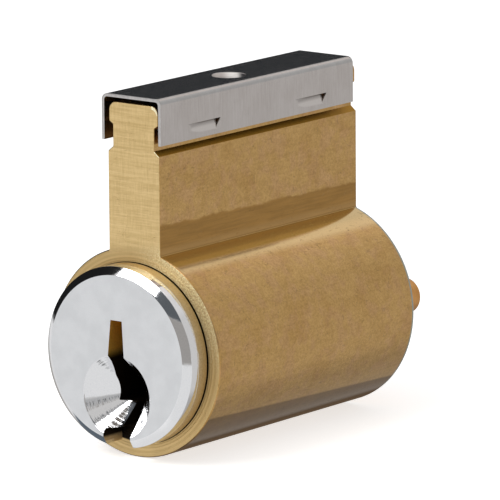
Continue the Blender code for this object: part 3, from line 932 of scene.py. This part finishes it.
def raw_brass():
    """Drawn brass with a milled foot band on the bible, and turned and sawn ends."""
    s = Shader("shell_metal")
    end = s.step(s.size_of(s.ny), 0.75, 0.9)
    side = s.inverse(end)
    wide = s.size_of(s.x)
    grain = s.noise(4.6, 4.0, 0.85, (1.0, 0.8, 1.0), 5.0)
    streak = s.noise(3.2, 3.0, 0.6, (1.0, 0.06, 1.0), 17.0)
    pits = brass_pits(s)
    colour = drawn_brass(s, grain, streak, pits)

    # painted light on the barrel beside the bible: a painted sheen on its top, a painted gold
    # reflection of the bible's foot next to it, and painted shade along the underside
    top = s.product(s.step(s.nz, 0.75, 0.85), s.step(s.z, 8.6, 9.3), s.step(s.z, 14.0, 13.0))
    colour = s.mix(s.product(top, 0.75), colour, BARREL_TOP_SHEEN)
    along = s.math("POWER", s.product(s.y, MM / SHELL_LENGTH), 6.0)
    lift = s.math("SUBTRACT", s.z, s.product(along, 0.95))
    # painted gold reflection of the bible's foot on the barrel's top
    colour = s.mix(s.product(top, s.step(lift, 9.5, 9.68, 0.0, 0.92)), colour, FOOT_REFLECTION)
    # painted shade along the barrel's underside
    belly_shade = s.step(s.math("ADD", s.nz, s.product(s.y, 0.0037)), -0.515, -0.545)
    colour = s.mix(s.product(belly_shade, side), colour, BELLY_SHADE, "MULTIPLY")

    # the milled band along the foot of the bible, with a ragged upper edge
    ragged = s.math("ADD", s.z, s.product(s.noise(0.45, 3.0, 0.6, shift=51.0), 0.9))
    ragged = s.math("ADD", ragged, s.product(s.y, 0.015))
    band = s.product(s.step(ragged, 14.3, 14.0), s.step(s.z, 9.8, 10.4))
    band = s.product(band, s.step(s.size_of(s.nx), 0.8, 0.95))
    milled = s.mix(s.step(streak, 0.25, 0.75), BRASS_MILLED, shade(BRASS_MILLED, 1.3))
    colour = s.mix(s.product(band, 0.9), colour, milled)
    colour = s.mix(s.product(s.step(s.z, 11.5, 10.8, 0.0, 0.5), band), colour, BRASS_MILLED_LIGHT)

    # painted shade in the crease at the bible's foot and on the shoulder below the neck, and a
    # painted reflection along the rear rim
    crease = s.window(s.z, (10.38, 10.46), (10.68, 10.56))
    crease = s.product(crease, s.step(wide, 3.6, 3.52), side)
    colour = s.mix(s.product(crease, 0.35), colour, CREASE_SHADE)
    shoulder = s.window(s.z, (20.8, 20.9), (21.55, 21.4))
    shoulder = s.product(shoulder, s.step(s.nz, 0.3, 0.5), side)
    colour = s.mix(s.product(shoulder, 0.95), colour, SHOULDER_SHADE)
    rim = s.product(s.step(s.y, 33.12, 33.24), s.step(s.z, 10.6, 10.3))
    colour = s.mix(s.product(rim, side), colour, RIM_REFLECTION)

    upper = s.step(s.z, 9.5, 12.5)
    marks = end_marks(s, upper)
    colour = s.mix(end, colour, end_brass(s, grain, pits, marks, wide))

    under = s.step(s.nz, -0.45, -0.6)
    rough = s.blend(s.step(grain, 0.3, 0.7), 0.11, 0.19)
    for share, value in ((band, 0.12), (top, 0.13), (under, 0.1), (shoulder, 0.45)):
        rough = s.blend(share, rough, value)
    rough = s.blend(end, rough, s.blend(upper, 0.5, 0.33))

    smooth = s.product(s.math("MAXIMUM", top, under), 0.9)
    smooth = s.math("MAXIMUM", s.product(band, 0.7), smooth)
    relief = s.product(s.blend(0.35, grain, streak), s.product(side, s.inverse(smooth)))
    normal = s.bump(relief, 0.02)
    normal = s.bump(s.product(marks, s.product(end, s.blend(upper, 0.6, 0.4))), 0.13, normal)
    normal = s.bump(s.inverse(pits), 0.012, normal)
    return s.finish(colour, rough, normal)


# ---- plated plug -----------------------------------------
SATIN_PLATE = ((0.63, 0.64, 0.655), (0.68, 0.69, 0.705))
SATIN_SPECK = (0.54, 0.55, 0.57)
MIRROR_PLATE = ((0.82, 0.83, 0.85), (0.88, 0.88, 0.89))
BARE_BRASS = ((0.53, 0.41, 0.23), (0.74, 0.62, 0.41))
KEYWAY_BRASS = ((0.7, 0.42, 0.08), (0.85, 0.55, 0.11))
KEYWAY_SHADE = (0.02, 0.012, 0.006)
KEYWAY_TARNISH = (0.62, 0.45, 0.24)


def plate_colour(s, face, speck):
    """Colour of the plating: satin on the face, mirror elsewhere."""
    soft = s.noise(0.6, 3.0, 0.5, shift=6.0)
    satin = s.mix(s.step(soft, 0.3, 0.7), *SATIN_PLATE)
    satin = s.mix(s.step(speck, 0.25, 0.6, 0.25, 0.0), satin, SATIN_SPECK)
    return s.mix(face, s.mix(s.step(speck, 0.3, 0.7), *MIRROR_PLATE), satin)


def keyway_colour(s, grain):
    """Colour of the keyway: brass above, painted shade from its middle down, tarnished at its low
    left.
    """
    colour = s.mix(s.step(grain, 0.25, 0.75), *KEYWAY_BRASS)
    # painted shade in the keyway from its middle down
    colour = s.mix(s.step(s.z, 0.9, -0.3), colour, KEYWAY_SHADE)
    tarnish = s.product(s.step(s.z, -8.35, -8.75), s.step(s.x, 0.0, -0.5))
    return s.mix(tarnish, colour, KEYWAY_TARNISH)


def plug_metal():
    """Brass under bright plate: satin on the face, mirror on the bevel and countersink."""
    s = Shader("plug_metal")
    grain = s.noise(6.0, 3.0, 0.7, shift=5.0)
    speck = s.noise(9.0, 3.0, 0.7, shift=2.0)
    front = s.step(s.ny, -0.3, -0.45)
    face = s.step(s.ny, -0.985, -0.995)
    reach = s.math("ADD", s.y, s.product(s.noise(0.5, 3.0, 0.6, shift=9.0), 0.8))
    head_side = s.product(s.step(s.radius, 9.15, 9.3), s.step(reach, -1.05, -1.2))
    plated = s.math("MAXIMUM", s.product(front, s.step(s.y, 1.3, 1.2)), head_side)
    inside = s.product(s.step(s.radius, 9.44, 9.36), s.step(s.y, 33.0, 32.5))
    bare = s.mix(s.step(grain, 0.25, 0.75), *BARE_BRASS)
    bare = s.mix(inside, bare, keyway_colour(s, grain))
    colour = s.mix(plated, bare, plate_colour(s, face, speck))

    rough = s.blend(inside, s.blend(s.step(grain, 0.3, 0.7), 0.3, 0.42), 0.6)
    rough = s.blend(plated, rough, s.blend(face, 0.07, 0.3))

    normal = s.bump(s.product(s.line_noise(s.y, 9.0), s.inverse(plated)), 0.03)
    normal = s.bump(s.product(speck, face), 0.004, normal)
    waves = s.noise(1.2, 2.0, 0.5, shift=8.0)
    normal = s.bump(s.product(waves, plated), 0.006, normal)
    inputs = {0: s.place, 1: (1.0, 0.0, 1.0)}
    across = s.add("VectorMath", inputs, operation="MULTIPLY").outputs[0]
    from_sink = s.distance((0.0, 0.0, SINK_Z / MM), across)
    behind_face = s.step(s.y, HEAD_FRONT / MM + 0.03, HEAD_FRONT / MM + 0.1)
    cone = s.product(behind_face, s.step(from_sink, 4.5, 4.4))
    normal = s.bump(s.product(s.line_noise(from_sink, 4.5), cone), 0.008, normal)
    return s.finish(colour, rough, normal)


# ---- cover steel and small parts -------------------------
STRIP = ((0.52, 0.485, 0.465), (0.6, 0.57, 0.555))
CUT_EDGE = ((0.42, 0.405, 0.4), (0.56, 0.54, 0.53))
BEND_SHADE = (0.84, 0.885, 0.91)
TAB_LIT_AND_SHADED = ((0.66, 0.625, 0.605), (0.4, 0.375, 0.36))
BOWL_HIGHLIGHT = ((0.6, 0.555, 0.53), (1.0, 0.98, 0.95))
BOWL_SHADE = (0.07, 0.07, 0.075)
DIMPLE_MIDDLE = (0.0, DIMPLE_Y / MM, 26.6)
TAIL_BRASS = ((0.58, 0.28, 0.08), (0.72, 0.38, 0.13))
SCREW_STEEL = ((0.48, 0.48, 0.5), (0.62, 0.62, 0.63))
PIN_BRASS = ((0.58, 0.4, 0.16), (0.7, 0.52, 0.23))
SPRING_STEEL = ((0.5, 0.5, 0.51), (0.66, 0.66, 0.67))


def dimple_light_and_shade(s):
    """Painted light across the dimple's bowl: dull at the left front, a painted highlight, painted
    shade at the right rear.
    """
    along = s.product(s.math("SUBTRACT", s.y, DIMPLE_Y / MM), 0.61)
    across = s.math("ADD", s.product(s.x, 0.79), along)
    colour = s.mix(s.step(across, -0.9, 0.3), *BOWL_HIGHLIGHT)
    return s.mix(s.step(across, 0.75, 1.5), colour, BOWL_SHADE)


def cover_metal():
    """Stainless strip: fine brushing, faint water marks, clean bright cut edges."""
    s = Shader("cover_metal")
    brushed = s.noise(5.0, 3.0, 0.6, (1.0, 1.0, 0.08), 3.0)
    fine = s.noise(14.0, 2.0, 0.6, (1.0, 1.0, 0.1), 13.0)
    cloud = s.noise(0.35, 4.0, 0.6, shift=23.0)
    edge = s.step(s.size_of(s.ny), 0.6, 0.9)
    tone = s.blend(0.5, s.step(brushed, 0.3, 0.7), s.step(cloud, 0.3, 0.7))
    colour = s.mix(edge, s.mix(tone, *STRIP), s.mix(s.step(fine, 0.35, 0.65), *CUT_EDGE))
    # painted shade: the top bends darkened and cooled to tone down their reflection
    bend = s.product(s.window(s.nz, (0.1, 0.3), (0.85, 0.65)), s.step(s.z, 25.9, 26.1))
    colour = s.mix(bend, colour, BEND_SHADE, "MULTIPLY")
    # painted light and shade on the lances' tabs: lighter low on the tab, painted shade at its top
    # under the slit
    tab = s.product(s.step(s.nz, 0.08, 0.2), s.step(s.z, 24.0, 23.8))
    colour = s.mix(tab, colour, s.mix(s.step(s.z, 22.95, 23.4), *TAB_LIT_AND_SHADED))
    # painted highlight and shade in the dimple's bowl
    top = s.window(s.z, (26.0, 26.2), (26.8, 26.76))
    dimple = s.product(top, s.step(s.distance(DIMPLE_MIDDLE), 1.95, 1.88))
    colour = s.mix(dimple, colour, dimple_light_and_shade(s))
    rough = s.blend(edge, s.blend(s.step(fine, 0.3, 0.7), 0.17, 0.24), 0.4)
    rough = s.blend(dimple, rough, 0.5)
    relief = s.product(s.blend(0.5, brushed, fine), s.step(s.nz, 0.9, 0.7, 0.3, 1.0))
    return s.finish(colour, rough, s.bump(relief, 0.006))


def turned_metal(name, tones, roughness, value="z", pitch=6.0):
    """Small turned or drawn parts: rings along one axis and a little tarnish."""
    s = Shader(name)
    rings = s.line_noise(getattr(s, value), pitch)
    cloud = s.noise(1.2, 4.0, 0.6, shift=4.0)
    grain = s.noise(9.0, 2.0, 0.6, shift=14.0)
    tone = s.blend(0.5, s.step(cloud, 0.3, 0.7), s.step(rings, 0.3, 0.7))
    rough = s.blend(s.step(grain, 0.3, 0.7), roughness * 0.85, roughness * 1.25)
    return s.finish(s.mix(tone, *tones), rough, s.bump(s.blend(0.4, rings, grain), 0.012))


# ---- assembly --------------------------------------------
shell = make_shell()
plug = make_plug()
cover = make_cover()
tail = make_tail()
screws = [make_screw(number) for number in SCREWS]
pins = [maker(number) for number in STACKS for maker in (make_key_pin, make_driver_pin)]
springs = [make_spring(number) for number in STACKS]

for items, material in (
    ([shell], raw_brass()),
    ([plug], plug_metal()),
    ([cover], cover_metal()),
    ([tail], turned_metal("tail_metal", TAIL_BRASS, 0.32, "y")),
    (screws, turned_metal("screw_metal", SCREW_STEEL, 0.26, "y", 10.0)),
    (pins, turned_metal("pin_metal", PIN_BRASS, 0.24)),
    (springs, turned_metal("spring_metal", SPRING_STEEL, 0.25)),
):
    for item in items:
        dress(item, material)


# ---- floor, studio and camera ----------------------------
PART_MIDDLE = Vector((0.0, 16.0 * MM, 3.0 * MM))
FLOOR_SIZE = 3.0
FLOOR_GLOW = 0.68
CAMERA_TURN = 37.78
CAMERA_LIFT = 11.30
CAMERA_ROLL = -0.404
CAMERA_DISTANCE = 653.49 * MM
CAMERA_SHIFT = Vector((2.051 * MM, 5.103 * MM, 0.0))
CAMERA_LENS = 448.28


def direction(turn, lift):
    """Unit vector at degrees from -Y towards +X, and up."""
    turn, lift = math.radians(turn), math.radians(lift)
    flat = math.cos(lift)
    return Vector((math.sin(turn) * flat, -math.cos(turn) * flat, math.sin(lift)))


def grey(value, warm=0.0):
    """A neutral radiance, a little warm or cool."""
    return (value * (1.0 + warm), value, value * (1.0 - warm))


def make_floor():
    """A plain pale table, left out of mirror rays: there the studio's own table is seen."""
    work = bmesh.new()
    bmesh.ops.create_grid(work, x_segments=1, y_segments=1, size=FLOOR_SIZE)
    floor = from_bmesh("studio_floor", work)
    floor.location.z = -SHELL_RADIUS
    s = Shader("floor_paint")
    tone = s.mix(s.noise(0.02, 2.0), grey(0.93), grey(0.95))
    dress(floor, s.finish(tone, 0.9, metallic=0.0))
    surface = s.tree.nodes["Principled BSDF"]
    surface.inputs["Emission Color"].default_value = (1.0, 1.0, 1.0, 1.0)
    surface.inputs["Emission Strength"].default_value = FLOOR_GLOW
    floor.visible_glossy = False
    floor.visible_shadow = False


class Sky(Nodes):
    """The studio as the metal sees it: grey walls, dark flags and a pale table, by direction."""

    def __init__(self):
        world = bpy.data.worlds.new("studio")
        bpy.context.scene.world = world
        super().__init__(world)
        x, y, z = self.parts(self.add("TexCoord").outputs["Generated"])
        degree = math.degrees(1.0)
        self.turns = {
            "ahead": self.product(self.math("ARCTAN2", x, self.product(y, -1.0)), degree),
            "behind": self.product(self.math("ARCTAN2", x, y), degree),
        }
        self.lift = self.product(self.math("ARCSINE", z), degree)
        self.colour = self.mix(self.step(self.lift, -2.0, 2.0), grey(0.8), grey(0.72, 0.02))

    def band(self, value, low, high, soft):
        """One inside a range of degrees, with soft edges."""
        return self.window(value, (low - soft, low + soft), (high + soft, high - soft))

    def patch(self, colour, side, across, up, soft):
        """A flag or card. across is measured from -Y towards +X, or from +Y when side is behind."""
        share = self.band(self.turns[side], *across, soft)
        share = self.product(share, self.band(self.lift, *up, soft))
        self.colour = self.mix(share, self.colour, colour)


# Radiance, side, degrees across, degrees up and softness. A later patch covers an earlier one.
PATCHES = (
    (grey(1.0), "ahead", (-85.0, 5.0), (-55.0, 2.0), 10.0),
    (grey(0.62, 0.02), "ahead", (25.0, 140.0), (0.0, 50.0), 3.0),
    (grey(0.46), "ahead", (44.0, 140.0), (1.0, 19.0), 4.0),
    (grey(0.07, -0.05), "ahead", (12.0, 45.0), (48.6, 53.0), 0.5),
    (grey(2.6), "ahead", (-18.0, 29.5), (50.8, 61.0), 0.8),
    (grey(0.13, 0.15), "ahead", (-80.0, -6.0), (60.0, 80.0), 2.0),
    (grey(0.14, -0.18), "ahead", (-125.0, -82.0), (-63.0, -29.5), 1.5),
    (grey(0.12), "ahead", (-180.0, 180.0), (-95.0, -79.0), 1.5),
    (grey(0.62, 0.02), "behind", (6.5, 70.0), (-90.0, 30.0), 3.0),
    (grey(0.42, 0.03), "behind", (-12.0, 27.0), (-60.0, -27.0), 5.0),
    (grey(0.36, 0.04), "behind", (-70.0, -8.0), (-90.0, 0.0), 4.0),
    ((0.15, 0.105, 0.065), "behind", (-60.0, -25.0), (-32.0, -3.0), 4.0),
    (grey(0.03), "ahead", (50.1, 60.0), (9.0, 20.0), 0.3),
    ((0.85, 0.8, 0.775), "behind", (-12.0, 9.0), (30.0, 47.0), 4.0),
    (grey(0.018, -0.25), "behind", (-90.0, -12.0), (-1.0, 26.0), 2.0),
    (grey(0.012), "ahead", (-110.0, -51.0), (-4.6, 60.0), 1.5),
    (grey(0.12, -0.08), "ahead", (-12.0, 32.0), (23.5, 46.0), 1.2),
    (grey(0.34, 0.05), "ahead", (10.0, 45.0), (-9.0, 23.5), 1.2),
)


def make_studio():
    """The world: patches for mirror rays, an even grey for diffuse rays, white for the camera."""
    sky = Sky()
    for patch in PATCHES:
        sky.patch(*patch)
    rays = sky.add("LightPath").outputs
    colour = sky.mix(rays["Is Diffuse Ray"], sky.colour, grey(0.3))
    colour = sky.mix(rays["Is Camera Ray"], colour, grey(1.0))
    background = sky.add("Background", {"Color": colour, "Strength": 1.0}).outputs[0]
    sky.feed(sky.add("OutputWorld").inputs["Surface"], background)


def soft_box(name, turn, lift, distance, size, radiance, in_reflections=True):
    """A rectangular area light at an azimuth and elevation, facing the part."""
    light = bpy.data.lights.new(name, "AREA")
    light.shape = "RECTANGLE"
    light.size, light.size_y = size
    light.energy = radiance * math.pi * size[0] * size[1]
    item = new_object(name, light)
    toward = direction(turn, lift)
    item.location = PART_MIDDLE + distance * toward
    item.rotation_euler = toward.to_track_quat("Z", "Y").to_euler()
    item.visible_camera = False
    item.visible_glossy = in_reflections


def make_camera():
    """A long lens at the height and angle the part is shown from."""
    toward = direction(CAMERA_TURN, CAMERA_LIFT)
    aim = toward.to_track_quat("Z", "Y").to_matrix()
    camera = new_object("camera", bpy.data.cameras.new("camera"))
    place = Matrix.Translation(PART_MIDDLE + aim @ CAMERA_SHIFT + CAMERA_DISTANCE * toward)
    roll = Matrix.Rotation(math.radians(CAMERA_ROLL), 4, "Z")
    camera.matrix_world = place @ aim.to_4x4() @ roll
    camera.data.lens = CAMERA_LENS
    camera.data.sensor_width = 36.0
    camera.data.clip_start = 0.01
    bpy.context.scene.camera = camera


make_floor()
make_studio()
soft_box("key_box", -22.5, 47.0, 0.45, (0.29, 0.16), 5.0)
soft_box("top_box", 100.0, 80.0, 0.9, (1.6, 1.6), 0.2, in_reflections=False)
make_camera()
bpy.context.scene.view_settings.view_transform = "Standard"
